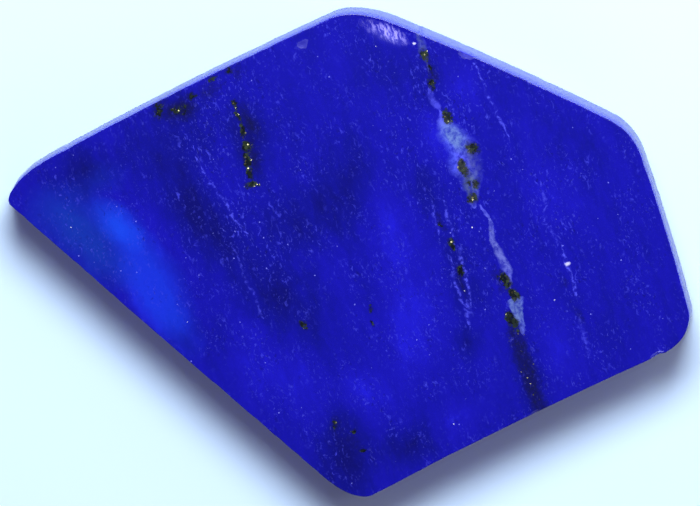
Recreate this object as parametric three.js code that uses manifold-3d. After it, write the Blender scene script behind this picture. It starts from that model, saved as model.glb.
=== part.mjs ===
// A polished slab of lapis lazuli: one flat, five-sided stone with rounded corners.
// Its sides stand upright and meet a very slightly domed top face in a crisp, barely broken edge,
// and its back is ground flat. A few small chips are broken out of the top's edge, and beside
// the rear corner the polish has worn through in one shallow spot.
//
// Millimetres, +Z up. The back lies on z = 0, and the origin is the middle of the outline's box.
// The long tip points to -X, the rear corner to +Y, and two short sides meet the blunt end at +X.
import * as THREE from "three";
import { mergeVertices } from "three/addons/utils/BufferGeometryUtils.js";
import Module from "manifold-3d";

// Corners of the outline, counterclockwise. x and y are where two straight sides would meet,
// before and after are how far from there the rounding starts on each side, and bow is how far
// the side after the corner bulges out at its middle, or in where it is negative.
const CORNERS = [
  { x: -23.7, y: 4.4, before: 4.0, after: 1.8, bow: 0.04 }, // long tip
  { x: 0.4, y: -16.5, before: 2.7, after: 1.4, bow: -0.2 }, // front corner
  { x: 23.0, y: -5.3, before: 2.6, after: 1.9, bow: 0.1 }, // blunt end, front
  { x: 18.8, y: 8.4, before: 1.8, after: 1.7, bow: 0.14 }, // blunt end, rear
  { x: 0.4, y: 16.6, before: 2.9, after: 1.9, bow: 0.19 }, // rear corner
];
const [FRONT_RIGHT, REAR_RIGHT, REAR_LEFT] = [1, 3, 4]; // sides, by the corner they start from
const STEPS_PER_CURVE = 12; // each side and each rounding is drawn with this many steps

// Heights
const CROWN = 5.6; // highest point of the top face
const DOME_X = 22.5; // from the middle to where the dome has dropped by DROP_X
const DROP_X = 0.22;
const DOME_Y = 16; // the same across the stone
const DROP_Y = 0.22;

// Edges
const SHOULDER = 0.12; // radius that breaks the crisp edge between the wall and the top face
const SHOULDER_STEPS = 3;
const BACK_BEVEL = 0.35; // radius that rounds the back's edge
const BACK_STEPS = 4;
const FACE_STEPS = 9; // rings across the top face

// Chips and the worn spot. Each is the bite of a stretched ball. The ball stands beside its side
// of the outline: along is its place on the side, from 0 to 1, out is how far outside the side
// its middle lies, or inside where it is negative, and z is its middle's height. half are its
// half sizes along the side, across it and upwards.
const BITES = [
  { side: REAR_RIGHT, along: 0.67, out: 0.1, z: 5.55, half: [0.55, 0.42, 0.34] }, // chip
  { side: REAR_LEFT, along: 0.11, out: -0.75, z: 5.55, half: [0.42, 0.24, 0.16] }, // pit
  { side: FRONT_RIGHT, along: 0.45, out: 0.18, z: 5.3, half: [0.42, 0.42, 0.55] }, // chip
  { side: FRONT_RIGHT, along: 0.56, out: 0.12, z: 5.45, half: [0.85, 0.36, 0.32] }, // chip
  { side: FRONT_RIGHT, along: 0.985, out: 0.1, z: 5.33, half: [0.5, 0.36, 0.5] }, // chip
  { side: REAR_RIGHT, along: 0.985, out: -1.05, z: 5.64, half: [2.3, 0.95, 0.3] }, // worn spot
];
const BALL_DETAIL = 4; // how finely a ball is divided

// Height of the top face at one place.
function faceHeight(x, y) {
  return CROWN - DROP_X * (x / DOME_X) ** 2 - DROP_Y * (y / DOME_Y) ** 2;
}

// The share of a rounding's tangent length that makes a cubic curve follow a circle.
function circleHandle(turn) {
  return ((4 / 3) * Math.tan(turn / 4)) / Math.tan(turn / 2);
}

// Where the line through a along u meets the line through b along v.
function meet(a, u, b, v) {
  const gap = b.clone().sub(a);
  return a.clone().addScaledVector(u, gap.cross(v) / u.cross(v));
}

// The outline as a path. Its curves take turns: a corner's rounding, then the side after it.
function makeOutline() {
  const count = CORNERS.length;
  const at = (k) => (k + count) % count;
  const corners = CORNERS.map((c) => new THREE.Vector2(c.x, c.y));
  const towards = (a, b, far) => a.clone().add(b.clone().sub(a).setLength(far));
  const starts = corners.map((c, k) => towards(c, corners[at(k + 1)], CORNERS[k].after));
  const ends = corners.map((c, k) => towards(c, corners[at(k - 1)], CORNERS[k].before));

  // A side is a quadratic curve: its control point lies twice as far out as its middle bows.
  const controls = starts.map((start, k) => {
    const end = ends[at(k + 1)];
    const outward = new THREE.Vector2(end.y - start.y, start.x - end.x).normalize();
    const middle = start.clone().add(end).multiplyScalar(0.5);
    return middle.addScaledVector(outward, 2 * CORNERS[k].bow);
  });

  const path = new THREE.Path();
  path.moveTo(ends[0].x, ends[0].y);
  for (let k = 0; k < count; k++) {
    const arriving = ends[k].clone().sub(controls[at(k - 1)]);
    const leaving = controls[k].clone().sub(starts[k]);
    const peak = meet(ends[k], arriving, starts[k], leaving);
    const handle = circleHandle(arriving.angleTo(leaving));
    const first = ends[k].clone().lerp(peak, handle);
    const second = starts[k].clone().lerp(peak, handle);
    path.bezierCurveTo(first.x, first.y, second.x, second.y, starts[k].x, starts[k].y);
    const next = ends[at(k + 1)];
    path.quadraticCurveTo(controls[k].x, controls[k].y, next.x, next.y);
  }
  return path;
}

// Closed outline points moved in by the same distance everywhere.
function insetPoints(points, inset) {
  const count = points.length;
  return points.map((p, k) => {
    const along = points[(k + 1) % count].clone().sub(points[(k - 1 + count) % count]);
    const inward = new THREE.Vector2(-along.y, along.x).normalize();
    return p.clone().addScaledVector(inward, inset);
  });
}

// The rings of the stone's skin, from the rim of the flat back to the middle of the top face.
function makeRings(points) {
  const rings = [];
  for (let k = 0; k <= BACK_STEPS; k++) {
    const turn = (k / BACK_STEPS) * (Math.PI / 2);
    const ring = insetPoints(points, BACK_BEVEL * (1 - Math.sin(turn)));
    const z = BACK_BEVEL * (1 - Math.cos(turn));
    rings.push(ring.map((p) => new THREE.Vector3(p.x, p.y, z)));
  }
  const rim = insetPoints(points, SHOULDER);
  const rimHeights = rim.map((p) => faceHeight(p.x, p.y));
  for (let k = 0; k <= SHOULDER_STEPS; k++) {
    const turn = (k / SHOULDER_STEPS) * (Math.PI / 2);
    const ring = insetPoints(points, SHOULDER * (1 - Math.cos(turn)));
    const drop = SHOULDER * (1 - Math.sin(turn));
    rings.push(ring.map((p, n) => new THREE.Vector3(p.x, p.y, rimHeights[n] - drop)));
  }
  for (let k = FACE_STEPS - 1; k >= 1; k--) {
    const ring = rim.map((p) => p.clone().multiplyScalar(k / FACE_STEPS));
    rings.push(ring.map((p) => new THREE.Vector3(p.x, p.y, faceHeight(p.x, p.y))));
  }
  return rings;
}

// A closed skin over the rings, with a fan of triangles at each end.
function skinOver(rings, bottom, top) {
  const count = rings[0].length;
  const points = [...rings.flat(), bottom, top];
  const [bottomIndex, topIndex] = [points.length - 2, points.length - 1];
  const lastRing = (rings.length - 1) * count;
  const faces = [];
  for (let k = 0; k < count; k++) {
    const next = (k + 1) % count;
    faces.push(bottomIndex, next, k);
    for (let low = 0; low < lastRing; low += count) {
      const high = low + count;
      faces.push(low + k, low + next, high + next, low + k, high + next, high + k);
    }
    faces.push(lastRing + k, lastRing + next, topIndex);
  }
  return new THREE.BufferGeometry().setFromPoints(points).setIndex(faces);
}

// The blank as it comes off the wheel, before anything chipped or wore away.
function makeBlank(outline) {
  const points = outline.getPoints(STEPS_PER_CURVE);
  points.pop(); // the path ends where it began
  const onAxis = (z) => new THREE.Vector3(0, 0, z);
  return skinOver(makeRings(points), onAxis(0), onAxis(CROWN));
}

// The ball of one chip or worn spot, stretched, turned along its side and set beside it.
function makeBall(outline, { side, along, out, z, half }) {
  const curve = outline.curves[2 * side + 1];
  const spot = curve.getPoint(along);
  const tangent = curve.getTangent(along);
  return new THREE.IcosahedronGeometry(1, BALL_DETAIL)
    .scale(...half)
    .rotateZ(tangent.angle())
    .translate(spot.x + out * tangent.y, spot.y - out * tangent.x, z);
}

const wasm = await Module();
wasm.setup();

// A closed geometry as a solid that can be cut.
function toSolid(geometry) {
  geometry.deleteAttribute("normal");
  geometry.deleteAttribute("uv");
  const merged = mergeVertices(geometry, 1e-4);
  return new wasm.Manifold(
    new wasm.Mesh({
      numProp: 3,
      vertProperties: merged.attributes.position.array,
      triVerts: new Uint32Array(merged.index.array),
    }),
  );
}

// A cut solid as a geometry again.
function toGeometry(solid) {
  const mesh = solid.getMesh();
  const geometry = new THREE.BufferGeometry();
  geometry.setAttribute("position", new THREE.BufferAttribute(mesh.vertProperties, 3));
  geometry.setIndex(new THREE.BufferAttribute(mesh.triVerts, 1));
  geometry.computeVertexNormals();
  return geometry;
}

function makeStone() {
  const outline = makeOutline();
  const balls = BITES.map((bite) => toSolid(makeBall(outline, bite)));
  const solid = balls.reduce((stone, ball) => stone.subtract(ball), toSolid(makeBlank(outline)));
  const polishedLapis = new THREE.MeshStandardMaterial({
    color: 0x1c1baf,
    roughness: 0.15,
    metalness: 0,
  });
  const stone = new THREE.Mesh(toGeometry(solid), polishedLapis);
  stone.name = "lapis_stone";
  return stone;
}

const lapisSlab = new THREE.Group();
lapisSlab.name = "lapis_slab";
lapisSlab.add(makeStone());

export default lapisSlab;
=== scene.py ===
# %% [markdown]
# A slab of lapis lazuli, lapped and polished on its face.
# The stone is one solid piece of rock, 45 mm long, that lies on its flat back. Its whole look is
# in the rock: deep blue lazurite in clouds and grains, threads and patches of pale calcite, and
# clusters of brassy pyrite. So this lesson makes one mesh, and spends most of its cells on one
# material that goes right through the stone.

# %% Load the measured stone
import math

import bmesh
import bpy
from mathutils import Matrix, Vector, noise
from mathutils.geometry import interpolate_bezier, intersect_line_line


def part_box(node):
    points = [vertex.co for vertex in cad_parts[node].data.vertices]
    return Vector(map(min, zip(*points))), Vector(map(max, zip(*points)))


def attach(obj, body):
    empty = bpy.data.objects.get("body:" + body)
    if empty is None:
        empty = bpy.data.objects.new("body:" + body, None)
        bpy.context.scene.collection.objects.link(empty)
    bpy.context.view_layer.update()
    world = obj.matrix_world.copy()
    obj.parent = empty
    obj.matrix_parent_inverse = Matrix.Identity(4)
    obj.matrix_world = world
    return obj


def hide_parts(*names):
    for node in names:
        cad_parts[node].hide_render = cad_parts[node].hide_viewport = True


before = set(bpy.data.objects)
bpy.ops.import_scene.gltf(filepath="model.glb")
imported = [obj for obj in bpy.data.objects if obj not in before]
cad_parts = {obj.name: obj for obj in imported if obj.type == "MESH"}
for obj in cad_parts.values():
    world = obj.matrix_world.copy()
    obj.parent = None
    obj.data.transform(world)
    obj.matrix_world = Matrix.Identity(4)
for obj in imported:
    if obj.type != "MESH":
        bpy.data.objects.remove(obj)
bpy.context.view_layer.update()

MM = 0.001
low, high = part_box("lapis_stone")
CROWN = high.z / MM
print(f"stone box {[round(side / MM, 2) for side in high - low]} mm, crown at {CROWN:.2f} mm")

# %% [markdown]
# The view. The slab was photographed lying down, from almost straight above. The camera leans
# only a few degrees towards the stone's rear, so a thin strip of the rear walls shows along the
# upper edges. A very long lens far away keeps the outline free of perspective, as in a copy
# stand. The camera is turned by its own axes rather than by a tracking constraint, because
# looking down there is no natural "up": the stone's +Y has to point up in the picture.

# %% Camera
FRAME_WIDTH = 46.16 * MM  # how much of the face the picture's width covers
LEAN = math.radians(6.3)  # from straight above
LEAN_TOWARDS = Vector((0.4, 0.92, 0)).normalized()
CAMERA_DISTANCE = 1.6  # metres
AIM = Vector((0.08 * MM, 0.2 * MM, 5.4 * MM))  # the point on the face in the picture's middle

toward_camera = LEAN_TOWARDS * math.sin(LEAN) + Vector((0, 0, math.cos(LEAN)))
picture_right = Vector((0, 1, 0)).cross(toward_camera).normalized()
picture_up = toward_camera.cross(picture_right)
turn = Matrix((picture_right, picture_up, toward_camera)).transposed().to_4x4()
lens = bpy.data.cameras.new("copy_stand_camera")
lens.lens = lens.sensor_width * CAMERA_DISTANCE / FRAME_WIDTH
camera = bpy.data.objects.new("copy_stand_camera", lens)
camera.matrix_world = Matrix.Translation(AIM + toward_camera * CAMERA_DISTANCE) @ turn
bpy.context.scene.collection.objects.link(camera)
bpy.context.scene.camera = camera
print(f"camera {math.degrees(LEAN):.1f} degrees off vertical, lens {lens.lens:.0f} mm")

# %% [markdown]
# The light. One soft panel stands behind the stone, so a wide soft shadow falls towards the
# front, and the polished face, which mirrors what is straight above it, stays dark and deep.
# A sun lamp would light the stone as well, but its shadow would have a hard rim. Two dim panels
# lift the sides, and all of them are given by where they stand in the sky over the stone.

# %% Light
def linear(code):
    """An sRGB colour such as "1c1baf" as the linear colour that a shader wants."""
    parts = [int(code[k : k + 2], 16) / 255 for k in (0, 2, 4)]
    return tuple(p / 12.92 if p < 0.04045 else ((p + 0.055) / 1.055) ** 2.4 for p in parts) + (1,)


def panel(name, size, power, place, colour):
    """A square soft light that stands at place and faces the stone."""
    light = bpy.data.lights.new(name, "AREA")
    light.size = size
    light.energy = power
    light.color = linear(colour)[:3]
    lamp = bpy.data.objects.new(name, light)
    lamp.location = place
    lamp.rotation_euler = place.to_track_quat("Z", "Y").to_euler()
    bpy.context.scene.collection.objects.link(lamp)


def from_sky(azimuth, tilt, distance):
    """A place at a distance from the stone. tilt is from straight up, azimuth from +X, in degrees."""
    level = math.sin(math.radians(tilt))
    turn = math.radians(azimuth)
    height = math.cos(math.radians(tilt))
    return Vector((math.cos(turn) * level, math.sin(turn) * level, height)) * distance


# Name, size in metres, power in watts, azimuth and tilt in degrees, distance in metres, colour
PANELS = [
    ("key_panel", 0.135, 1.37, 85, 31.8, 0.3, "f0f4ff"),
    ("side_fill", 0.1, 0.045, 25, 55, 0.16, "fff8f0"),
    ("front_fill", 0.5, 0.8, -70, 60, 0.7, "d0b8e4"),
]
for name, size, power, azimuth, tilt, distance, code in PANELS:
    panel(name, size, power, from_sky(azimuth, tilt, distance), code)
print(f"{len(PANELS)} panels of light")

# %% [markdown]
# The room and the floor. A dim, faintly violet room fills the shadow and is what the polish
# mirrors. The floor is matte paper lit almost to white: the upright walls mirror it at a grazing
# angle, which is what gives them their pale lilac rim. A curved backdrop isn't needed, since the
# camera looks down.

# %% Room and floor
ROOM_COLOUR = "b6acbc"
ROOM_BRIGHTNESS = 0.22
PAPER_COLOUR = "d1ecff"
PAPER_ROUGHNESS = 0.9
FLOOR_REACH = 1.5  # metres from the stone to the floor's edge

world = bpy.data.worlds.new("dim_room")
world.use_nodes = True
world.node_tree.nodes["Background"].inputs["Color"].default_value = linear(ROOM_COLOUR)
world.node_tree.nodes["Background"].inputs["Strength"].default_value = ROOM_BRIGHTNESS
bpy.context.scene.world = world
bpy.context.scene.view_settings.view_transform = "Standard"

floor_shape = bmesh.new()
bmesh.ops.create_grid(floor_shape, x_segments=1, y_segments=1, size=FLOOR_REACH)
floor_mesh = bpy.data.meshes.new("pale_floor")
floor_shape.to_mesh(floor_mesh)
floor_shape.free()
floor = bpy.data.objects.new("pale_floor", floor_mesh)
bpy.context.scene.collection.objects.link(floor)

paper = bpy.data.materials.new("matte_white_paper")
paper.use_nodes = True
paper_skin = paper.node_tree.nodes["Principled BSDF"]
paper_skin.inputs["Base Color"].default_value = linear(PAPER_COLOUR)
paper_skin.inputs["Roughness"].default_value = PAPER_ROUGHNESS
floor_mesh.materials.append(paper)
print("a dim room and a pale floor")

# %% [markdown]
# The outline. Somebody ground this slab by eye against a flat wheel: five sides, each a little
# bowed, with the corners rolled round. It could be traced point by point, but a maker thinks in
# corners, so here each corner is given with how far its rounding reaches, and each side with its
# bow. A side is a shallow curve with one control point. A rounding is a curve whose two handles
# aim at the point where the sides' tangents cross, which keeps it as round as a wheel leaves it.

# %% Outline
# Corners counterclockwise, in mm: x and y where two sides would meet, how far from there the
# rounding starts before and after it, and how far the side after it bows out at its middle.
CORNERS = [
    (-23.7, 4.4, 4.0, 1.8, 0.04),  # long tip
    (0.4, -16.5, 2.7, 1.4, -0.2),  # front corner
    (23.0, -5.3, 2.6, 1.9, 0.1),  # blunt end, front
    (18.8, 8.4, 1.8, 1.7, 0.14),  # blunt end, rear
    (0.4, 16.6, 2.9, 1.9, 0.19),  # rear corner
]
MESH_STEP = 0.14  # mm between neighbouring points, fine enough for chips and a smooth gloss

corners = [Vector((x, y, 0)) for x, y, *rounding in CORNERS]
count = len(corners)
starts = []
ends = []
for k, (x, y, before, after, bow) in enumerate(CORNERS):
    starts.append(corners[k] + (corners[(k + 1) % count] - corners[k]).normalized() * after)
    ends.append(corners[k] + (corners[k - 1] - corners[k]).normalized() * before)
controls = []
for k, (*corner, bow) in enumerate(CORNERS):
    chord = ends[(k + 1) % count] - starts[k]
    outward = Vector((chord.y, -chord.x, 0)).normalized()
    controls.append((starts[k] + ends[(k + 1) % count]) / 2 + outward * 2 * bow)
print(f"{count} sides, {[round((a - b).length, 1) for a, b in zip(starts, ends[1:] + ends[:1])]} mm long")

# %% [markdown]
# The outline's points. Both kinds of curve are walked in steps of one length, because the grid
# that closes the face later is only as even as the edge it hangs on. Each point also keeps the
# way inward from it, along which the wall's rounding and its ground waves are set.

# %% Points of the outline
ROUNDING_LENGTH = 0.9  # how long a rounding is, as a share of its two tangents together


def even_points(curve, length):
    """Points along a curve about MESH_STEP apart, an even number of them, without its last."""
    steps = 2 * max(1, round(length / MESH_STEP / 2))
    return interpolate_bezier(*curve, steps + 1)[:-1]


outline = []
corner_marks = []  # the index of the middle of each rounding
for k in range(count):
    arriving = ends[k] - controls[k - 1]
    leaving = controls[k] - starts[k]
    peak = intersect_line_line(ends[k], controls[k - 1], starts[k], controls[k])[0]
    angle = arriving.angle(leaving)
    handle = 4 / 3 * math.tan(angle / 4) / math.tan(angle / 2)
    rounding = (ends[k], ends[k].lerp(peak, handle), starts[k].lerp(peak, handle), starts[k])
    points = even_points(rounding, (peak - ends[k]).length * 2 * ROUNDING_LENGTH)
    corner_marks.append(len(outline) + len(points) // 2)
    outline += points
    end = ends[(k + 1) % count]
    side = (starts[k], starts[k].lerp(controls[k], 2 / 3), end.lerp(controls[k], 2 / 3), end)
    outline += even_points(side, (end - starts[k]).length)
total = len(outline)
inward = []
for k, point in enumerate(outline):
    ahead = outline[(k + 1) % total] - outline[k - 1]
    inward.append(Vector((-ahead.y, ahead.x, 0)).normalized())
print(f"outline of {total} points")

# %% [markdown]
# The body. On the real slab the face is lapped flat with the faintest dome, it meets the upright
# wall in a crisp edge that was just touched on the wheel, and the back's edge is eased a little
# more. It could be an extruded outline with a bevel, but a bevel gives every edge one width and
# leaves the face as a single huge polygon that can't dome or chip. So the wall is raised ring by
# ring from the back with extrude, and the face is closed with a grid fill, which lays even
# squares with no pole in the middle: a pole would show as a star in the polish.

# %% Form of the body
BACK_EDGE = 0.35  # radius of the back's edge
FACE_EDGE = 0.03  # radius of the crisp edge round the face
WALL_BOW = 0.02  # how far the wall draws in on its way up to the face
WALL_WIDEST = 1.4  # the height at which the wall is widest
WALL_STEP = 0.4
DOME = ((22.5, 0.22), (16.0, 0.22))  # half length and half width, and how far the face drops there
# Hand grinding cuts inside the true outline in long waves and small nicks: how deep in mm, and
# how many there are per mm along the outline and up the wall
WAVE_DEPTH, WAVES_PER_MM = 0.02, (0.22, 0.12)
NICK_DEPTH, NICKS_PER_MM = 0.05, (1.3, 0.3)
NOISE_SWING = 0.6  # how far the noise swings to either side of 0


def face_height(place):
    """The polished face's height above the back, in mm."""
    (half_x, drop_x), (half_y, drop_y) = DOME
    return CROWN - drop_x * (place.x / half_x) ** 2 - drop_y * (place.y / half_y) ** 2


def uneven(point, z, per_mm):
    """Noise at a point of the outline at height z, about -NOISE_SWING to NOISE_SWING."""
    level, upward = per_mm
    return noise.noise(Vector((point.x * level, point.y * level, z * upward)))


def on_wall(k, inset, z):
    """The point of the outline with index k, moved in and set at height z."""
    wave = WAVE_DEPTH * (NOISE_SWING + uneven(outline[k], z, WAVES_PER_MM))
    nick = NICK_DEPTH * max(0, uneven(outline[k], z, NICKS_PER_MM))
    place = outline[k] + inward[k] * (inset + wave + nick)
    return Vector((place.x, place.y, z))


def wall_inset(z):
    """How far the wall is drawn in at height z."""
    rise = max(0, z - WALL_WIDEST) / (CROWN - WALL_WIDEST)
    return WALL_BOW * rise**2


print(f"face at {face_height(Vector((0, 0, 0))):.2f} mm in its middle")

# %% [markdown]
# The wall. Each ring of it is listed first, as how far it is drawn in and how high it stands:
# steps round the back's edge, even steps up, and finer steps round the face's edge. One loop then
# extrudes the open rim to each ring in turn. A spin or a bevel would do this for one profile, but
# here the ring's height follows the dome, so the edge stays equally crisp all the way round.

# %% Wall
BACK_TURNS = (18, 36, 54, 72, 90)  # degrees round the back's edge
FACE_TURNS = (25, 50, 72, 90)  # and round the face's

levels = []  # each ring's inset and height, the height as a share of the face's
for turn in BACK_TURNS:
    angle = math.radians(turn)
    levels.append((BACK_EDGE * (1 - math.sin(angle)), BACK_EDGE * (1 - math.cos(angle)) / CROWN))
wall_top = CROWN - FACE_EDGE
rings = round((wall_top - BACK_EDGE) / WALL_STEP)
for k in range(1, rings + 1):
    z = BACK_EDGE + (wall_top - BACK_EDGE) * k / rings
    levels.append((wall_inset(z), z / CROWN))
for turn in FACE_TURNS:
    angle = math.radians(turn)
    z = CROWN - FACE_EDGE * (1 - math.sin(angle))
    levels.append((wall_inset(z) + FACE_EDGE * (1 - math.cos(angle)), z / CROWN))

stone = bmesh.new()
order = stone.verts.layers.int.new("order")
rim = []
for k in range(total):
    vert = stone.verts.new(on_wall(k, BACK_EDGE, 0))
    vert[order] = k
    rim.append(vert)
edges = [stone.edges.new((rim[k - 1], rim[k])) for k in range(total)]
bmesh.ops.contextual_create(stone, geom=edges)
for inset, share in levels:
    raised = bmesh.ops.extrude_edge_only(stone, edges=edges)["geom"]
    for vert in raised:
        if isinstance(vert, bmesh.types.BMVert):
            k = vert[order]
            vert.co = on_wall(k, inset, share * face_height(outline[k]))
    edges = [e for e in raised if isinstance(e, bmesh.types.BMEdge) and e.is_boundary]
print(f"wall of {len(levels)} rings, {len(stone.faces)} faces")

# %% [markdown]
# The face. It is closed with a grid of squares between four stretches of the rim, the opposite
# ones with as many edges. The stretches meet at the long tip, at the front and rear corners, and
# on the blunt end. Then each new point is set on the dome. A fan of triangles would close the
# face too, but its centre would show in the gloss.

# %% Face
tip, rear = corner_marks[0], corner_marks[-1]  # the long tip is the first corner, the rear the last
rear_left = (tip - rear) % total
front_left = total // 2 - rear_left


def stretch(first, steps):
    """The open edges of the rim from one index on, for so many steps."""
    wanted = {(first + k) % total for k in range(steps + 1)}
    return [e for e in edges if all(vert[order] in wanted for vert in e.verts)]


rails = stretch(tip, front_left) + stretch(rear - front_left, front_left)
filled = bmesh.ops.grid_fill(stone, edges=rails)["faces"]
for face in filled:
    for vert in face.verts:
        if not vert.is_boundary:
            vert.co.z = face_height(vert.co)
bmesh.ops.recalc_face_normals(stone, faces=stone.faces)
print(f"face of {len(filled)} squares")

# %% [markdown]
# The bites. The stone has small chips where its edge was knocked, and a pit near the rear corner.
# Each is a shell-shaped bite with a slightly rough floor. A boolean would cut it, but leaves
# ragged triangles, so each bite is a stretched ball that pushes the skin's points out to its own
# surface, roughened a little with noise.

# %% Bites
# The side that the ball stands beside, its place on it from 0 to 1, how far outside it stands,
# its height, its half sizes along, across and up, in mm, and how rough its floor is.
FRONT_RIGHT, REAR_RIGHT, REAR_LEFT = 1, 3, 4
BITES = [
    (REAR_RIGHT, 0.67, 0.18, 5.55, (0.5, 0.38, 0.24), 0.15),
    (REAR_LEFT, 0.11, -0.75, 5.55, (0.42, 0.24, 0.16), 0.2),
    (FRONT_RIGHT, 0.45, 0.18, 5.3, (0.42, 0.42, 0.55), 0.2),
    (FRONT_RIGHT, 0.56, 0.12, 5.45, (0.85, 0.36, 0.32), 0.25),
    (FRONT_RIGHT, 0.985, 0.1, 5.33, (0.5, 0.36, 0.5), 0.2),
]
BRUISE = 1.2  # the skin is dulled a little beyond each bite
FLOOR_BUMPS_PER_MM = 3
MIDDLE = 0.01  # a point as near as this to the ball's middle has no way out to follow

bitten_skin = stone.verts.layers.float.new("bitten")
for side, share, out, z, half, rough in BITES:
    start, end = starts[side], ends[(side + 1) % count]
    along = (end - start).normalized()
    across = Vector((along.y, -along.x, 0))
    middle = start.lerp(end, share) + across * out + Vector((0, 0, z))
    bitten = 0
    for vert in stone.verts:
        gap = vert.co - middle
        local = Vector((gap.dot(along) / half[0], gap.dot(across) / half[1], gap.z / half[2]))
        reach = 1 + rough * noise.noise(vert.co * FLOOR_BUMPS_PER_MM)
        if local.length < reach * BRUISE:
            vert[bitten_skin] = 1
        if MIDDLE < local.length < reach:
            local *= reach / local.length
            vert.co = middle + along * local.x * half[0] + across * local.y * half[1]
            vert.co.z += local.z * half[2]
            bitten += 1
    print(f"bite on side {side}: {bitten} points")

# %% [markdown]
# The worn spot's form. Beside the rear corner the face was rubbed until its polish and a little
# of the stone were gone, which left a dish without a rim. One more ball could bite it out, but
# would crowd the points at its edge. So they are only lowered, most of all in the dish's middle.

# %% Worn dish
WORN_PLACE = Vector((2.4, 14.95, 0))
WORN_TURN = -24.0  # degrees from +X
WORN_HALF = (2.3, 0.95)  # half length and half width in mm
WORN_DEPTH = 0.06
FACE_DEPTH = 0.5  # only points this near the crown's height are worn

lowered = 0
worn_frame = Matrix.Rotation(math.radians(-WORN_TURN), 3, "Z")
for vert in stone.verts:
    gap = worn_frame @ (vert.co - WORN_PLACE)
    near = 1 - (gap.x / WORN_HALF[0]) ** 2 - (gap.y / WORN_HALF[1]) ** 2
    if near > 0 and vert.co.z > CROWN - FACE_DEPTH:
        vert.co.z -= WORN_DEPTH * near**2
        lowered += 1
print(f"worn dish of {lowered} points")

# %% [markdown]
# The finished mesh. Until here every number was in millimetres, and one scale makes them metres.
# The squares are shaded smooth, because wall, rounding and face flow into each other. The back is
# the only face with more sides, and it stays flat. The mesh then takes the place of the
# measured solid, on the same body.

# %% Finished mesh
for face in stone.faces:
    face.smooth = len(face.verts) == 4
bmesh.ops.scale(stone, vec=Vector((MM, MM, MM)), verts=stone.verts)
stone_mesh = bpy.data.meshes.new("lapis_slab")
stone.to_mesh(stone_mesh)
stone.free()
slab = bpy.data.objects.new("lapis_slab", stone_mesh)
bpy.context.scene.collection.objects.link(slab)
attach(slab, "root")
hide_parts("lapis_stone")
print(f"slab of {len(stone_mesh.polygons)} faces")

# %% [markdown]
# The rock. Lapis lazuli is a rock of several minerals, so its material is built as the rock is:
# first the blue lazurite, whose tone drifts in clouds and is streaked along one direction, the
# grain, in which the rock was once squeezed; then calcite in threads and patches along that
# grain; then pyrite, which sits in clusters of small metal grains on the calcite. A picture
# wrapped round the stone would smear on its walls. Instead everything here is a function of the
# place in the stone, so it runs on over the edges, as it does where a real rock is sawn. That
# takes many small steps, so one function adds a node and gives back its output, ready to be fed
# into the next node.

# %% A node at a time
rock = bpy.data.materials.new("lapped_lapis_lazuli")
rock.use_nodes = True
skin = rock.node_tree.nodes["Principled BSDF"]
FACTOR, UNDER, OVER = 0, 6, 7  # a Mix node's inputs when it mixes colours


def add(kind, inputs=None, **settings):
    """Adds a node to the rock and gives its first live output; its .node leads to the others.
    inputs are values or sockets for the node's inputs, and settings are its properties."""
    node = rock.node_tree.nodes.new("ShaderNode" + kind)
    for name, value in settings.items():
        setattr(node, name, value)
    for key, value in (inputs or {}).items():
        if isinstance(value, bpy.types.NodeSocket):
            rock.node_tree.links.new(value, node.inputs[key])
        else:
            node.inputs[key].default_value = value
    return next(out for out in node.outputs if out.enabled)


print(f"material {rock.name}")

# %% [markdown]
# Places in the rock are counted in millimetres from the middle of the polished face. Nothing in
# a rock is ruled, so the places are pushed about by noise first, slowly over a millimetre or two
# and quickly over a few tenths. Whatever is drawn on the wandered places gets a natural rim.
# A second set of places is turned so that its first axis runs along the grain.

# %% Places in the stone
GRAIN_TURN = -71.6  # the grain's direction on the face, in degrees from +X
FACE_LEVEL = 5.4  # the height of the polished face's middle part, in mm
PER_MM = 1 / MM
NOISE_MEAN = 0.5  # the value that the noise nodes and random colours lie around
WANDERS = [(0.7, 2, 0.7), (3.2, 3, 0.2)]  # noise scale per mm, detail, and how far it pushes in mm

coords = add("TexCoord").node.outputs["Object"]
place = add("Mapping", {"Vector": coords, "Scale": (PER_MM,) * 3, "Location": (0, 0, -FACE_LEVEL)})
wandered = place
for per_mm, detail, reach in WANDERS:
    noise_at = add("TexNoise", {"Vector": place, "Scale": per_mm, "Detail": detail})
    push = add(
        "VectorMath",
        {0: noise_at.node.outputs["Color"], 1: (NOISE_MEAN,) * 3},
        operation="SUBTRACT",
    )
    wandered = add("VectorMath", {0: push, 1: (reach,) * 3, 2: wandered}, operation="MULTIPLY_ADD")
grain_place = add("Mapping", {"Vector": wandered, "Rotation": (0, 0, math.radians(-GRAIN_TURN))})


def patch(x, y, length, width, turn, depth=3.0):
    """A soft ellipsoid in the rock, 1 at its middle and 0 at its rim. Half sizes in mm."""
    local = add(
        "Mapping",
        {
            "Vector": wandered,
            "Location": (x, y, 0),
            "Rotation": (0, 0, math.radians(turn)),
            "Scale": (length, width, depth),
        },
        vector_type="TEXTURE",
    )
    return add("TexGradient", {"Vector": local}, gradient_type="SPHERICAL").node.outputs["Fac"]


print(f"places wander by {len(WANDERS)} noises, the grain lies at {GRAIN_TURN} degrees")

# %% [markdown]
# The blue. Lazurite itself is one colour, but fine calcite and pyrite dust in it makes clouds:
# indigo where it is dark, royal blue in most of the stone. Noise alone would put them anywhere,
# so the large clouds are patches where this stone has them, and only the finer drift and the
# streaks along the grain come from noise, stretched two or three times along the grain.

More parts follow.
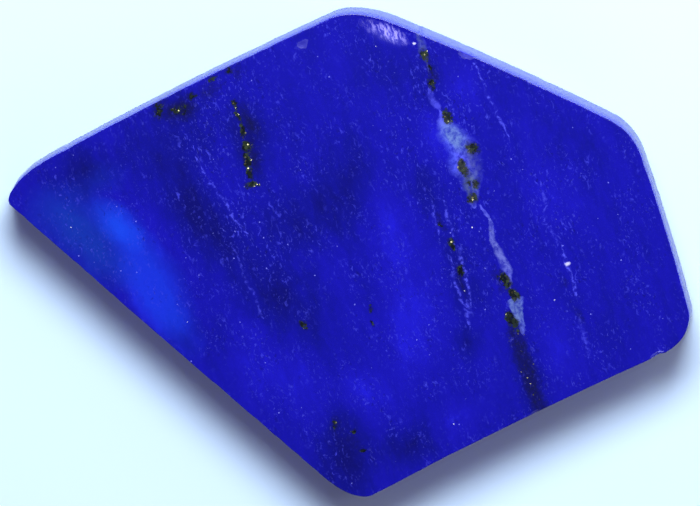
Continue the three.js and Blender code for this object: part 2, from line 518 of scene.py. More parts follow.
# %% Clouds
# x, y, half length and half width in mm, turn in degrees, and how much lighter or darker
CLOUDS = [
    (-10.5, 3.4, 4.6, 2.4, -56, -0.5),
    (-8.4, 1.0, 3.4, 2.2, -50, -0.3),
    (-4.6, -2.6, 5.0, 3.0, -42, -0.45),
    (-3.3, 2.5, 3.4, 2.8, 0, -0.35),
    (-0.3, 4.6, 4.4, 2.6, -85, -0.45),
    (-6.5, 7.6, 3.8, 1.7, -78, -0.5),
    (-11.8, 7.6, 4.6, 2.8, 10, -0.3),
    (-11.2, 9.9, 2.4, 1.4, 12, -0.4),
    (3.6, 12.0, 4.0, 2.4, -20, -0.25),
    (-0.3, -13.6, 4.6, 2.4, -85, -0.6),
    (4.1, -12.4, 3.2, 1.6, 25, -0.45),
    (7.9, -5.6, 1.6, 1.3, -70, -0.4),
    (7.2, -0.8, 4.0, 1.3, -72, -0.35),
    (5.2, 4.4, 2.4, 1.4, -60, -0.3),
    (-17.6, 5.6, 3.2, 2.0, 20, -0.4),
    (11.9, -8.2, 4.6, 1.2, -72, -0.5),
    (-13.0, -3.0, 3.4, 2.4, -55, 0.55),
    (-14.6, 1.0, 4.4, 2.6, -60, 0.4),
    (2.7, 2.0, 4.0, 2.4, -75, 0.4),
    (4.4, -2.8, 4.6, 2.8, -85, 0.4),
    (4.0, -6.4, 4.2, 3.0, -70, 0.35),
    (-4.8, -8.0, 5.0, 3.2, -40, 0.35),
    (1.0, -9.2, 3.0, 1.8, -35, 0.4),
    (6.0, 8.0, 2.4, 2.0, -70, 0.45),
    (13.4, 4.0, 3.0, 2.0, -60, 0.3),
    (14.0, -5.8, 3.4, 2.0, -70, 0.35),
    (7.4, 11.2, 2.4, 2.0, -70, 0.3),
    (7.0, -10.8, 3.0, 1.6, 25, 0.3),
]
CLOUD_DEPTH = 9.0  # clouds and zones reach deep into the stone, in mm

tone = 0.5  # 0 is the darkest indigo and 1 the brightest royal blue
for *spot, change in CLOUDS:
    cloud = patch(*spot, depth=CLOUD_DEPTH)
    tone = add("Math", {0: cloud, 1: change, 2: tone}, operation="MULTIPLY_ADD")
print(f"{len(CLOUDS)} clouds")

# %% [markdown]
# The finer drift. Between the clouds the tone still changes: slowly along the grain and faster
# across it, which reads as faint streaks, and once more from crystal to crystal. A single noise
# with many octaves would look like smoke, so three noises with their own stretch are added to the
# tone, and two cell patterns give each crystal its own small step. One ramp turns tone into blue.

# %% Drift, streaks and crystals
# Noise scales per mm along, across and through the grain, detail and strength
DRIFTS = [
    ((0.16, 0.5, 0.3), 2, 0.5),
    ((0.7, 2.0, 1.6), 2, 0.3),
    ((2.4, 4.2, 4.0), 3, 0.15),
]
for scales, detail, strength in DRIFTS:
    stretched = add("Mapping", {"Vector": grain_place, "Scale": scales})
    drift = add("TexNoise", {"Vector": stretched, "Scale": 1, "Detail": detail, "Roughness": 0.6})
    centred = add("Math", {0: drift, 1: NOISE_MEAN}, operation="SUBTRACT")
    tone = add("Math", {0: centred, 1: strength, 2: tone}, operation="MULTIPLY_ADD")

# Every crystal in the rock has a tone of its own: crystals per mm, and strength
CRYSTALS = [((1.6, 2.4, 2.0), 0.04), ((3.4, 4.6, 4.0), 0.03)]
for scales, strength in CRYSTALS:
    stretched = add("Mapping", {"Vector": grain_place, "Scale": scales})
    crystals = add("TexVoronoi", {"Vector": stretched, "Scale": 1}).node.outputs["Color"]
    own_tone = add("SeparateColor", {0: crystals})
    centred = add("Math", {0: own_tone, 1: NOISE_MEAN}, operation="SUBTRACT")
    tone = add("Math", {0: centred, 1: strength, 2: tone}, operation="MULTIPLY_ADD")

BLUES = [(0.0, "030662"), (0.3, "070a82"), (0.5, "0c0b94"), (0.72, "110ea2"), (1.0, "1816bc")]
colour = add("ValToRGB", {"Fac": tone})
ramp = colour.node.color_ramp
while len(ramp.elements) < len(BLUES):
    ramp.elements.new(0.5)
for stop, (position, code) in zip(ramp.elements, BLUES):
    stop.position = position
    stop.color = linear(code)
print(f"{len(DRIFTS)} drifts and {len(CRYSTALS)} sizes of crystal")

# %% [markdown]
# The milky part by the long tip. There the lazurite is thin and finely mixed with calcite, which
# scatters light back: a green-blue veil with azure clouds in it. It could be a lighter stop of
# the same ramp, but its hue differs from the rest, so it is laid over the blue as a veil, which
# is thinner where the blue below is dark.

# %% Veils
# Each veil: its colour, its strength and its spots
VEILS = [
    ("0a3098", 0.8, [
        (-18.4, 2.4, 3.6, 2.6, -30, 1.4),
        (-16.4, 0.0, 3.4, 2.0, -40, 1.3),
        (-16.6, 5.0, 2.4, 1.4, 15, 0.6),
    ]),
    ("0e32c6", 0.7, [
        (-15.4, 2.3, 2.4, 1.4, -30, 1.2),
        (-12.9, -1.8, 4.6, 2.2, -58, 1.4),
        (-11.4, -4.6, 3.0, 1.6, -55, 0.8),
        (-14.0, 0.6, 2.2, 1.5, -50, 0.6),
    ]),
    ("124cdc", 0.45, [(-15.2, 1.9, 2.4, 1.3, -45, 1.2)]),
]
LEAST = 0.15  # a veil's thickness over the darkest blue
thickness = add("Math", {0: tone, 1: LEAST}, operation="ADD")
for code, strength, spots in VEILS:
    veil = 0.0
    for *spot, change in spots:
        cloud = patch(*spot, depth=CLOUD_DEPTH)
        veil = add("Math", {0: cloud, 1: change, 2: veil}, operation="MULTIPLY_ADD")
    veil = add("Math", {0: veil, 1: thickness}, operation="MULTIPLY", use_clamp=True)
    veil = add("Math", {0: veil, 1: strength}, operation="MULTIPLY")
    colour = add("Mix", {FACTOR: veil, UNDER: colour, OVER: linear(code)}, data_type="RGBA")
print(f"{len(VEILS)} veils")

# %% [markdown]
# Grit. Close up the blue is sprinkled with pale grains of calcite and darker ones, dashes a few
# tenths of a millimetre long that lie along the grain. Dots from a Voronoi pattern would come
# out evenly spaced, like print. The peaks of a fine noise have uneven sizes and shapes. A coarse
# noise thins them out in places, and a few zones beside the veins get more of them.

# %% Grit
# Zones with more grit: x, y, half length and half width in mm, turn, and how much more
GRITTY = [
    (7.0, 5.0, 11.0, 4.0, -72, 0.8),
    (-8.6, 9.6, 5.0, 4.0, 10, 0.9),
    (14.0, 1.0, 9.0, 3.0, -72, 0.4),
    (-7.0, 2.0, 8.0, 2.6, -56, 0.9),
]
coarse = add("TexNoise", {"Vector": place, "Scale": 0.45, "Detail": 2})
gritty = add("MapRange", {"Value": coarse, "From Min": 0.42, "From Max": 0.62, "To Min": 0.12})
for *spot, more in GRITTY:
    zone = patch(*spot, depth=CLOUD_DEPTH)
    gritty = add("Math", {0: zone, 1: more, 2: gritty}, operation="MULTIPLY_ADD")

# Noise scales per mm along, across and through the grain, the heights of the noise between
# which a grain fades in, colour and strength
GRIT = [
    ((2.4, 4.6, 4.6), 0.6, 0.78, "4044d0", 0.7),
    ((5.0, 8.0, 8.0), 0.62, 0.78, "5458d2", 0.5),
    ((3.4, 5.0, 5.0), 0.4, 0.27, "06085c", 0.5),
]
for scales, start, full, code, strength in GRIT:
    stretched = add("Mapping", {"Vector": grain_place, "Scale": scales})
    fine = add("TexNoise", {"Vector": stretched, "Scale": 1, "Detail": 2, "Distortion": 0.4})
    grit = add("MapRange", {"Value": fine, "From Min": start, "From Max": full, "To Max": strength})
    grit = add("Math", {0: grit, 1: gritty}, operation="MULTIPLY", use_clamp=True)
    colour = add("Mix", {FACTOR: grit, UNDER: colour, OVER: linear(code)}, data_type="RGBA")
print(f"{len(GRIT)} kinds of grit")

# %% [markdown]
# Painted sparkles. Here and there one clean crystal of calcite faces the light and sparkles, and
# here its glint is a painted highlight: pale lilac and white dots laid into the colour. These
# are rare and round enough for the dots of a Voronoi pattern with wide cells: the face cuts only
# a few of the spheres round its points, so they come out scattered and of different sizes.

# %% Painted sparkles
# Each kind of painted sparkle: cells per mm, reach of a point as a share of a cell, colour and strength
PAINTED_SPARKLES = [
    (0.95, 0.055, "8286ee", 0.8),
    (0.42, 0.026, "ffffff", 0.9),
]
CORE = 0.4  # the share of a point's reach that has its full strength
for per_mm, reach, code, strength in PAINTED_SPARKLES:
    sparkle_dots = add("TexVoronoi", {"Vector": place, "Scale": per_mm})
    near = add(
        "MapRange",
        {"Value": sparkle_dots, "From Min": reach * CORE, "From Max": reach, "To Min": strength, "To Max": 0},
    )
    colour = add("Mix", {FACTOR: near, UNDER: colour, OVER: linear(code)}, data_type="RGBA")
print(f"{len(PAINTED_SPARKLES)} kinds of bright point")

# %% [markdown]
# Calcite threads. Cracks along the grain were healed by calcite, and the lapped face cuts them
# as pale threads that wander and swell. A thread could be a string of ellipses, but it reads
# better as what it is: a course. Seen along the grain, each place has one middle line and one
# width, and a Float Curve holds each of the two, drawn through a few points.

# %% A thread
grain_axes = add("SeparateXYZ", {0: grain_place}).node.outputs
grain_turn = Matrix.Rotation(math.radians(-GRAIN_TURN), 3, "Z")
THINNEST = 0.03  # half width in mm below which a thread only fades


def thread(course, firm):
    """A thread of mineral through (x, y, half width) points in mm: 1 inside, 0 at its rim.
    The firmer it is, the crisper its rim."""
    turned = [grain_turn @ Vector((x, y, 0)) for x, y, width in course]
    first, last = turned[0].x, turned[-1].x
    side_low = min(point.y for point in turned) - THINNEST
    side_span = max(point.y for point in turned) + THINNEST - side_low
    widest = max(width for x, y, width in course)
    shares = [(point.x - first) / (last - first) for point in turned]
    share = add("MapRange", {"Value": grain_axes[0], "From Min": first, "From Max": last})
    middle = add("FloatCurve", {"Value": share})
    wide = add("FloatCurve", {"Value": share})
    lines = [(point.y - side_low) / side_span for point in turned]
    widths = [width / widest for x, y, width in course]
    for curve, drawn in ((middle, lines), (wide, widths)):
        points = curve.node.mapping.curves[0].points
        points[0].location = shares[0], drawn[0]
        points[1].location = shares[-1], drawn[-1]
        for k in range(1, len(shares) - 1):
            points.new(shares[k], drawn[k])
        curve.node.mapping.update()
    middle = add("Math", {0: middle, 1: side_span, 2: side_low}, operation="MULTIPLY_ADD")
    wide = add("Math", {0: wide, 1: widest}, operation="MULTIPLY")
    off = add("Math", {0: grain_axes[1], 1: middle}, operation="SUBTRACT")
    off = add("Math", {0: off}, operation="ABSOLUTE")
    inside = add("Math", {0: wide, 1: off}, operation="SUBTRACT")
    inside = add("Math", {0: inside, 1: firm}, operation="MULTIPLY")
    wide = add("Math", {0: wide, 1: THINNEST}, operation="MAXIMUM")
    return add("Math", {0: inside, 1: wide}, operation="DIVIDE", use_clamp=True)


print(f"threads narrower than {2 * THINNEST} mm fade out")

# %% [markdown]
# The stone has one wide vein and a few fine fibres beside it. The vein is nearly solid calcite,
# milky and uneven. The fibres are strings of tiny crystals, so they come out beaded: the same
# threads, broken up by a noise of a few beads per millimetre.

# %% Vein and fibres
# Each thread: its strength, how firm it is, and its course
VEIN = [
    (0.6, 1.5, [(4.35, 15.4, 0.1), (4.6, 14.6, 0.2), (4.8, 13.9, 0.34), (5.1, 12.9, 0.16),
                (5.25, 12.2, 0.0)]),
    (0.6, 1.6, [(5.35, 11.2, 0.0), (5.5, 10.6, 0.26), (5.8, 9.9, 0.2), (6.0, 9.3, 0.0)]),
    (1.0, 1.8, [(5.85, 9.6, 0.0), (6.3, 8.8, 0.6), (6.85, 8.1, 1.0), (7.4, 7.2, 1.15),
                (7.6, 6.3, 1.25), (7.95, 5.4, 0.95), (8.15, 4.5, 0.65), (8.3, 3.6, 0.34),
                (8.5, 3.2, 0.0)]),
    (0.85, 2.0, [(8.6, 3.45, 0.0), (8.95, 3.1, 0.12), (9.3, 2.3, 0.14), (9.5, 1.4, 0.22),
                 (9.75, 0.5, 0.32), (10.1, -0.2, 0.36), (10.4, -0.9, 0.34), (10.5, -1.5, 0.2),
                 (10.6, -2.2, 0.0)]),
    (0.95, 4.0, [(10.95, -2.7, 0.0), (11.0, -3.0, 0.62), (11.15, -3.5, 0.46), (11.35, -4.2, 0.28),
                 (11.5, -4.8, 0.16), (11.6, -5.2, 0.0)]),
]
FIBRES = [
    (0.8, 1.2, [(8.2, 12.9, 0.0), (8.35, 12.6, 0.17), (8.5, 12.2, 0.08), (8.9, 11.5, 0.14),
                (9.2, 10.5, 0.12), (9.6, 9.9, 0.14), (9.9, 9.3, 0.16), (10.3, 8.5, 0.1),
                (10.6, 7.5, 0.0)]),
    (0.7, 1.2, [(5.3, 3.9, 0.0), (5.5, 3.2, 0.14), (5.8, 1.9, 0.14), (5.95, 1.4, 0.0)]),
    (0.7, 1.2, [(6.1, 4.0, 0.0), (6.35, 3.2, 0.14), (6.7, 1.9, 0.14), (6.95, 1.1, 0.0)]),
    (0.7, 1.4, [(6.7, -0.2, 0.0), (6.85, -1.3, 0.14), (7.3, -2.7, 0.14), (7.7, -3.2, 0.0)]),
    (0.8, 1.4, [(6.9, 1.0, 0.0), (7.35, -0.2, 0.16), (7.75, -1.4, 0.14), (8.0, -2.3, 0.12),
                (8.1, -3.4, 0.0)]),
    (0.7, 1.2, [(7.8, -2.8, 0.0), (7.9, -3.6, 0.3), (8.0, -4.4, 0.14), (8.1, -5.0, 0.0)]),
    (0.55, 1.0, [(12.7, 4.9, 0.0), (12.9, 3.7, 0.16), (13.0, 2.4, 0.1), (13.5, 1.5, 0.18),
                 (13.7, 0.7, 0.0)]),
    (0.9, 1.5, [(13.9, 0.8, 0.0), (14.1, 0.3, 0.1), (14.4, -0.5, 0.14), (14.75, -1.3, 0.16),
                (15.0, -2.4, 0.14), (15.1, -2.9, 0.0)]),
    (0.5, 1.0, [(14.9, -3.2, 0.0), (15.1, -4.0, 0.12), (15.5, -5.1, 0.3), (15.8, -6.4, 0.1),
                (16.0, -7.4, 0.0)]),
    (0.8, 1.2, [(-10.2, 6.6, 0.0), (-10.0, 6.3, 0.1), (-9.3, 5.1, 0.13), (-8.4, 3.85, 0.11),
                (-7.8, 2.9, 0.15), (-7.1, 2.0, 0.12), (-6.4, 1.2, 0.0)]),
    (0.5, 1.0, [(-7.7, 0.7, 0.0), (-7.3, -0.3, 0.14), (-6.6, -1.8, 0.14), (-5.9, -3.3, 0.14),
                (-5.6, -4.3, 0.0)]),
    (0.4, 1.0, [(-3.4, 14.2, 0.0), (-3.5, 13.6, 0.14), (-3.7, 12.7, 0.0)]),
]
MILKY_PER_MM = 2.6
BEADS_PER_MM = 4.0
milky = add("TexNoise", {"Vector": grain_place, "Scale": MILKY_PER_MM, "Detail": 3, "Roughness": 0.6})
milky = add("MapRange", {"Value": milky, "From Min": 0.36, "From Max": 0.6, "To Min": 0.25})
beads = add("TexNoise", {"Vector": wandered, "Scale": BEADS_PER_MM, "Detail": 2})
beads = add("MapRange", {"Value": beads, "From Min": 0.45, "From Max": 0.62, "To Min": 0.06})
calcite = 0.0
for threads, texture in ((VEIN, milky), (FIBRES, beads)):
    for strength, firm, course in threads:
        here = add("Math", {0: thread(course, firm), 1: strength}, operation="MULTIPLY")
        here = add("Math", {0: here, 1: texture}, operation="MULTIPLY")
        calcite = add("Math", {0: calcite, 1: here}, operation="MAXIMUM")
print(f"{len(VEIN)} stretches of vein, {len(FIBRES)} fibres")

# %% [markdown]
# Calcite is white when pure, and glassy enough to take the hue of what lies under it: azure over
# bright lazurite, slate over dark, green-grey beside the pyrite. One colour would make the vein
# look painted on, so the vein's colour is mixed from tinted zones.

# %% Tints of the calcite
# Colour, and where: x, y, half length and half width in mm, turn in degrees
TINTS = [
    ("5e78ba", (7.0, 7.9, 1.7, 1.0, -45)),
    ("4c5ae6", (6.7, 6.5, 1.7, 0.5, -76)),
    ("3c4496", (8.4, 6.2, 1.7, 0.8, -70)),
    ("506070", (7.9, 4.6, 1.5, 1.1, -65)),
    ("4c5a96", (4.9, 13.8, 2.2, 1.0, -70)),
    ("666fc2", (9.9, 0.6, 3.4, 1.2, -65)),
    ("6076b0", (11.1, -3.5, 1.8, 0.9, -70)),
]
TINT_REACH = 1.6  # a tint is full in the inner part of its zone and fades towards its rim
CALCITE_SHOW = 0.9  # the rest is the blue below
calcite_colour = linear("4a4ee0")  # between the zones
for code, spot in TINTS:
    zone = add("Math", {0: patch(*spot), 1: TINT_REACH}, operation="MULTIPLY", use_clamp=True)
    calcite_colour = add(
        "Mix", {FACTOR: zone, UNDER: calcite_colour, OVER: linear(code)}, data_type="RGBA"
    )
shown = add("Math", {0: calcite, 1: CALCITE_SHOW}, operation="MULTIPLY")
colour = add("Mix", {FACTOR: shown, UNDER: colour, OVER: calcite_colour}, data_type="RGBA")

# Two crystals of clear white calcite
WHITES = [(14.43, -0.42, 0.26, 0.2, -10), (4.25, 14.15, 0.13, 0.1, 0)]
WHITE_DEPTH = 0.4  # mm
WHITE_REACH = 2.0  # full over the inner half of a crystal
white = 0.0
for spot in WHITES:
    crystal = add("Math", {0: patch(*spot, depth=WHITE_DEPTH), 1: WHITE_REACH}, operation="MULTIPLY")
    white = add("Math", {0: white, 1: crystal}, operation="MAXIMUM", use_clamp=True)
print(f"{len(TINTS)} tints, {len(WHITES)} white crystals")

# %% [markdown]
# Pyrite. The brassy grains are cubes a few tenths of a millimetre across, crowded into clusters
# on the veins, in a dark matrix. Polished flush, each grain mirrors another part of the room, so
# most look dark olive and a few shine. Only the shining ones are made metal here; the dark olive of
# the rest is painted shade, laid into the colour with the matrix's own dark tone. First come the
# clusters' places.

# %% Clusters
# x, y, half length and half width in mm, turn in degrees, strength
CLUSTERS = [
    (5.0, 13.3, 0.65, 0.4, -70, 1.0),
    (5.35, 12.5, 0.4, 0.2, -60, 0.7),
    (5.5, 11.5, 0.85, 0.32, -72, 0.9),
    (6.5, 9.15, 0.65, 0.5, -60, 1.3),
    (8.2, 7.2, 0.65, 0.55, -60, 1.2),
    (7.5, 5.8, 0.9, 0.45, -65, 1.3),
    (7.75, 4.9, 0.4, 0.3, -60, 0.6),
    (8.4, 4.8, 0.5, 0.35, -75, 1.1),
    (8.2, 3.85, 0.6, 0.45, -10, 1.1),
    (10.3, -1.6, 0.9, 0.4, -65, 1.2),
    (10.85, -2.5, 0.75, 0.45, -60, 1.2),
    (10.8, -4.2, 0.9, 0.45, -55, 1.1),
    (6.8, 0.8, 0.6, 0.33, -65, 1.1),
    (7.3, -1.0, 0.65, 0.4, -75, 1.0),
    (-7.5, 10.0, 0.5, 0.3, -70, 0.9),
    (-7.2, 9.2, 0.7, 0.25, -65, 0.8),
    (-6.95, 8.3, 0.6, 0.3, -80, 0.9),
    (-6.7, 7.2, 0.7, 0.5, -70, 1.3),
    (-6.7, 6.4, 0.6, 0.45, -85, 1.2),
    (-6.45, 5.6, 0.6, 0.4, -75, 1.0),
    (-6.3, 4.8, 0.75, 0.4, 10, 1.0),
    (-12.5, 9.6, 0.7, 0.5, -85, 0.9),
    (-11.2, 9.6, 0.9, 0.5, 5, 0.6),
    (-10.4, 10.5, 0.6, 0.35, 20, 0.8),
    (-9.0, 11.7, 0.5, 0.4, 25, 0.7),
    (-8.0, 12.2, 0.45, 0.35, 0, 0.8),
    (-2.95, -4.6, 0.4, 0.3, -50, 0.9),
    (1.55, -3.5, 0.45, 0.25, -80, 0.9),
    (1.6, -4.5, 0.3, 0.2, -60, 0.8),
    (-1.0, -11.1, 0.45, 0.3, -85, 0.8),
    (0.3, -11.6, 0.25, 0.25, 0, 0.9),
    (0.9, -13.0, 0.4, 0.25, 0, 0.8),
    (6.0, 2.2, 0.4, 0.3, -70, 0.6),
]
CLUSTER_DEPTH = 1.2  # mm
clusters = 0.0
for *spot, strength in CLUSTERS:
    here = add("Math", {0: patch(*spot, depth=CLUSTER_DEPTH), 1: strength}, operation="MULTIPLY")
    clusters = add("Math", {0: clusters, 1: here}, operation="MAXIMUM")

# The dark band that runs from the wedge of calcite to the front edge
BAND = [(10.7, -4.2, 0.0), (11.1, -5.3, 0.85), (11.4, -6.3, 0.85), (11.7, -7.4, 0.8),
        (12.1, -8.6, 0.75), (12.6, -9.8, 0.75), (13.0, -11.2, 0.7)]
band = thread(BAND, firm=1.5)
print(f"{len(CLUSTERS)} clusters and a band")

# %% [markdown]
# The matrix round the metal. It is fine pyrite dust in lazurite: navy at its rim and olive black
# in its core. Round spots would look stamped, so a ragged noise is added to the clusters before
# they are cut off at a level, which tears their rims and leaves crumbs around them.

# %% Matrix
# Dark rock without metal: x, y, half length and half width in mm, turn, strength
DARKS = [
    (-11.1, 9.6, 1.6, 0.9, 5, 0.9),
    (-12.5, 9.9, 0.8, 1.2, 0, 0.7),
    (-9.2, 10.9, 1.4, 0.9, 25, 0.5),
    (-7.4, 12.1, 0.6, 1.0, 0, 0.5),
    (-6.5, 8.9, 1.6, 0.6, -65, 0.8),
    (-6.3, 6.4, 1.6, 0.8, -75, 0.7),
    (5.4, 12.3, 1.1, 0.4, -65, 0.8),
    (9.9, -1.6, 1.4, 0.5, -65, 0.6),
    (7.5, -2.0, 1.3, 0.35, -70, 0.6),
    (14.3, -1.7, 0.8, 0.35, -75, 0.5),
    (15.2, -3.9, 0.8, 0.4, -65, 0.4),
    (6.1, 2.3, 1.3, 0.3, -70, 0.6),
    (0.3, -12.3, 1.8, 0.6, -50, 0.4),
    (-0.9, -11.2, 0.9, 0.5, -80, 0.6),
]
BAND_DARK = 0.62  # how dark the band is as a zone
BAND_METAL = 0.14  # how far it counts as a cluster
CLUSTER_DARK = 1.3  # and how much a cluster counts as dark, so that its rim reaches past the metal
TEAR = 2.8  # how strongly the ragged noise tears the clusters' rims
RAGGED_PER_MM = 4.2

darks = add("Math", {0: band, 1: BAND_DARK}, operation="MULTIPLY")
for *spot, strength in DARKS:
    here = add("Math", {0: patch(*spot), 1: strength}, operation="MULTIPLY")
    darks = add("Math", {0: darks, 1: here}, operation="MAXIMUM")
ragged = add("TexNoise", {"Vector": place, "Scale": RAGGED_PER_MM, "Detail": 4, "Roughness": 0.7})
ragged = add("Math", {0: ragged, 1: NOISE_MEAN}, operation="SUBTRACT")
banded = add("Math", {0: band, 1: BAND_METAL, 2: clusters}, operation="MULTIPLY_ADD")
tear = add("MapRange", {"Value": banded, "From Min": 0.0, "From Max": 0.25, "To Max": TEAR})
torn = add("Math", {0: ragged, 1: tear, 2: banded}, operation="MULTIPLY_ADD")
core = add("MapRange", {"Value": torn, "From Min": 0.32, "From Max": 0.58})
around = add("Math", {0: clusters, 1: CLUSTER_DARK}, operation="MULTIPLY")
around = add("Math", {0: darks, 1: around}, operation="MAXIMUM")
around = add("Math", {0: ragged, 1: around}, operation="ADD")
around = add("MapRange", {"Value": around, "From Min": 0.1, "From Max": 0.75, "To Max": 0.88})
colour = add("Mix", {FACTOR: around, UNDER: colour, OVER: linear("080c40")}, data_type="RGBA")
print(f"{len(DARKS)} dark zones")

# %% [markdown]
# The metal grains. A Voronoi pattern gives each grain a cell with a random colour, and that one
# colour decides everything about the grain: how dark it is painted, whether it shines, how large it
# is and which way its face is tipped. The dark olive of a grain that doesn't shine is painted shade,
# for a metal face that mirrors the dim room, mixed with the matrix's own dark colour. For the grains
# that shine a metal shader does the rest. A metal keeps the default IOR, because its base colour
# alone says how it mirrors.

# %% Grains of pyrite
GRAINS_PER_MM = 5.0
MOSTLY_SHADED = 2.0  # this power of a chance from 0 to 1 leaves most grains painted dark, as painted shade
CORE_SHOW = 0.92  # how much of the blue the matrix hides
CORE_SHINE = 0.28  # a grain in a core shines more often than one in the band
CRISP = 9  # how sharp a grain's rim is

grains = add("TexVoronoi", {"Vector": place, "Scale": GRAINS_PER_MM})
grain_colour = grains.node.outputs["Color"]
chance = add("SeparateColor", {0: grain_colour}).node.outputs
grain_shade = add("Math", {0: chance[1], 1: MOSTLY_SHADED}, operation="POWER")
# Painted shade: the grains that don't shine are painted dark olive, together with the matrix's own dark
# tone
matrix_and_shaded_grain_colour = add(
    "Mix", {FACTOR: grain_shade, UNDER: linear("020a08"), OVER: linear("324022")}, data_type="RGBA"
)
olive = add("Math", {0: core, 1: CORE_SHOW}, operation="MULTIPLY")
colour = add("Mix", {FACTOR: olive, UNDER: colour, OVER: matrix_and_shaded_grain_colour}, data_type="RGBA")

# The few grains that shine
shine = add("Math", {0: core, 1: CORE_SHINE, 2: chance[0]}, operation="MULTIPLY_ADD")
shine = add("MapRange", {"Value": shine, "From Min": 0.9, "From Max": 0.94})
inside_band = add("Math", {0: core, 1: band}, operation="MAXIMUM")
shine = add("Math", {0: shine, 1: inside_band}, operation="MULTIPLY")
radius = add("MapRange", {"Value": chance[2], "To Min": 0.2, "To Max": 0.42})
inside = add("Math", {0: radius, 1: grains}, operation="SUBTRACT")
inside = add("Math", {0: inside, 1: CRISP}, operation="MULTIPLY", use_clamp=True)
metal = add("Math", {0: shine, 1: inside}, operation="MULTIPLY")
brass = add(
    "Mix", {FACTOR: chance[1], UNDER: linear("4c4c26"), OVER: linear("aca67c")}, data_type="RGBA"
)
colour = add("Mix", {FACTOR: metal, UNDER: colour, OVER: brass}, data_type="RGBA")
colour = add("Mix", {FACTOR: white, UNDER: colour, OVER: linear("d0d0f4")}, data_type="RGBA")
print(f"grains of {1 / GRAINS_PER_MM:.2f} mm")

# %% [markdown]
# The worn spot. Beside the rear corner the polish is gone and fine scratches show, bunched like
# frost. The scratches are real wear, but their pale lilac streaks along the grain and the paler
# haze between them are a painted highlight: the lamp's glint on the scratched patch, laid into
# the colour. Real scratches are a few hundredths of a millimetre wide, too fine to show here, so
# they are drawn about a tenth of a millimetre wide.

# %% Worn spot
# x, y, half length and half width in mm, turn in degrees, strength
WORN_SPOTS = [(2.3, 14.85, 1.9, 0.6, -24, 1.0), (2.9, 14.65, 1.25, 0.6, -28, 1.1)]
SCRATCH_DEPTH = 1.0  # mm
SCRATCHES_PER_MM = (1.4, 6.5, 6.5)  # along, across and through the grain
PAINTED_HAZE = 0.25  # painted sheen: what is worn between the scratches is painted a little paler too

worn = 0.0
for *spot, strength in WORN_SPOTS:
    here = patch(*spot, depth=SCRATCH_DEPTH)
    worn = add("Math", {0: here, 1: strength, 2: worn}, operation="MULTIPLY_ADD")
stretched = add("Mapping", {"Vector": grain_place, "Scale": SCRATCHES_PER_MM})
streaks = add("TexNoise", {"Vector": stretched, "Scale": 1, "Detail": 3, "Distortion": 0.6})
streaks = add("MapRange", {"Value": streaks, "From Min": 0.44, "From Max": 0.66})
painted_frost_glint = add("Math", {0: streaks, 1: worn}, operation="MULTIPLY", use_clamp=True)
painted_haze = add("Math", {0: worn, 1: PAINTED_HAZE}, operation="MULTIPLY", use_clamp=True)
# Painted highlight: the worn patch is painted paler, and its scratches pale lilac, for the lamp's glint
# on them
colour = add("Mix", {FACTOR: painted_haze, UNDER: colour, OVER: linear("4a48dc")}, data_type="RGBA")
colour = add("Mix", {FACTOR: painted_frost_glint, UNDER: colour, OVER: linear("9e98f0")}, data_type="RGBA")
print(f"scratches {1 / SCRATCHES_PER_MM[1]:.2f} mm apart")

# %% [markdown]
# Walls and back. The walls are ground finer than the back but never polished, so light scatters
# in their skin and they look paler than the face. Just below the face's edge the wall is painted a
# brighter blue still, streaky along the wall the way the wheel ran: a painted glow for lamp light
# that comes through the stone's thin edge. Painting faces of the mesh would leave a hard seam. The
# way a face points tells wall, back and polished face apart just as well, and without a seam.

# %% Walls and chips
MARKS_PER_MM = (0.5, 0.5, 5.0)  # the wheel's marks run along the walls
points_up = add("NewGeometry").node.outputs["Normal"]
points_up = add("SeparateXYZ", {0: points_up}).node.outputs["Z"]
is_back = add("MapRange", {"Value": points_up, "From Min": -0.3, "From Max": -0.8})
is_wall = add("Math", {0: points_up}, operation="ABSOLUTE")
is_wall = add(
    "MapRange", {"Value": is_wall, "From Min": 0.3, "From Max": 0.7, "To Min": 1, "To Max": 0}
)
height = add("SeparateXYZ", {0: place}).node.outputs["Z"]
# The top three millimetres of the wall: rougher from the wheel, and painted brighter blue as a painted
# glow
upper_wall_grind_and_glow = add(
    "MapRange", {"Value": height, "From Min": -3.0, "From Max": 0.0}, interpolation_type="SMOOTHSTEP"
)
upper_wall_grind_and_glow = add("Math", {0: upper_wall_grind_and_glow, 1: is_wall}, operation="MULTIPLY")
bitten = add("Attribute", attribute_name="bitten").node.outputs["Fac"]
marks = add("Mapping", {"Vector": place, "Scale": MARKS_PER_MM})
marks = add("TexNoise", {"Vector": marks, "Scale": 1, "Detail": 3, "Roughness": 0.6})
marks = add("MapRange", {"Value": marks, "From Min": 0.3, "From Max": 0.7, "To Min": 0.6, "To Max": 1.2})
upper_wall_grind_and_glow = add("Math", {0: upper_wall_grind_and_glow, 1: marks}, operation="MULTIPLY")
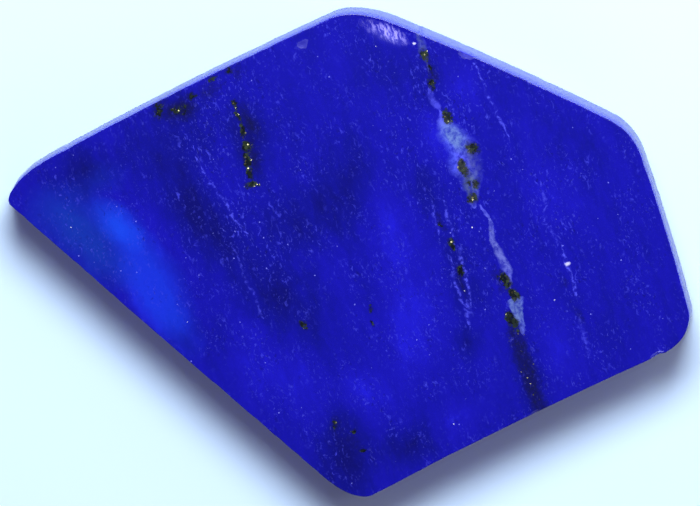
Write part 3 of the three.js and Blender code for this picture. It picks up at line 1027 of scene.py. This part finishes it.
# The upper wall's share is a painted glow; the wall's and the chips' shares are their ground skin's own
# paleness
PALER_AND_GLOW = [(is_wall, 0.1), (upper_wall_grind_and_glow, 0.45), (bitten, 0.04)]
pale_and_glow = 0.0
for where, amount in PALER_AND_GLOW:
    pale_and_glow = add("Math", {0: where, 1: amount, 2: pale_and_glow}, operation="MULTIPLY_ADD")
colour = add("Mix", {FACTOR: pale_and_glow, UNDER: colour, OVER: linear("3a38f0")}, data_type="RGBA")
print(f"{len(PALER_AND_GLOW)} kinds of paler skin")

# %% [markdown]
# The polish. Lapped lapis takes a glassy polish, IOR about 1.5, with a roughness of about 0.17 on
# the blue. Calcite and pyrite are softer and harder than that and come out duller, and what was
# only ground is duller still, so roughness is a sum over all of these. The metal grains mirror
# another part of the room each, because their faces are tipped by the grain's random colour.

# %% Polish
POLISH = 0.17
DULLER = [  # where the stone is duller, and how much rougher it is there
    (calcite, 0.2),
    (metal, 0.14),
    (worn, 0.12),
    (bitten, 0.5),
    (is_wall, 0.11),
    (upper_wall_grind_and_glow, 0.2),
    (is_back, 0.4),
]
rough = POLISH
for where, amount in DULLER:
    rough = add("Math", {0: where, 1: amount, 2: rough}, operation="MULTIPLY_ADD")

FACET_TIP = 0.5  # how far the metal grains' faces are tipped
SWELLS_PER_MM = 2.2  # a hand-held lap leaves the face very faintly uneven
SWELL_HEIGHT = 0.02  # mm
tipped = add("VectorMath", {0: grain_colour, 1: (NOISE_MEAN,) * 3}, operation="SUBTRACT")
tip_amount = add("Math", {0: metal, 1: FACET_TIP}, operation="MULTIPLY")
tipped = add("VectorMath", {0: tipped, 3: tip_amount}, operation="SCALE")
swell = add("TexNoise", {"Vector": place, "Scale": SWELLS_PER_MM, "Detail": 4})
relief = add("Bump", {"Height": swell, "Strength": 0.25, "Distance": SWELL_HEIGHT * MM})
facing = add("VectorMath", {0: relief, 1: tipped}, operation="ADD")
facing = add("VectorMath", {0: facing}, operation="NORMALIZE")
for socket, name in (
    (colour, "Base Color"),
    (metal, "Metallic"),
    (rough, "Roughness"),
    (facing, "Normal"),
):
    rock.node_tree.links.new(socket, skin.inputs[name])
skin.inputs["IOR"].default_value = 1.5
stone_mesh.materials.append(rock)
print(f"material of {len(rock.node_tree.nodes)} nodes")
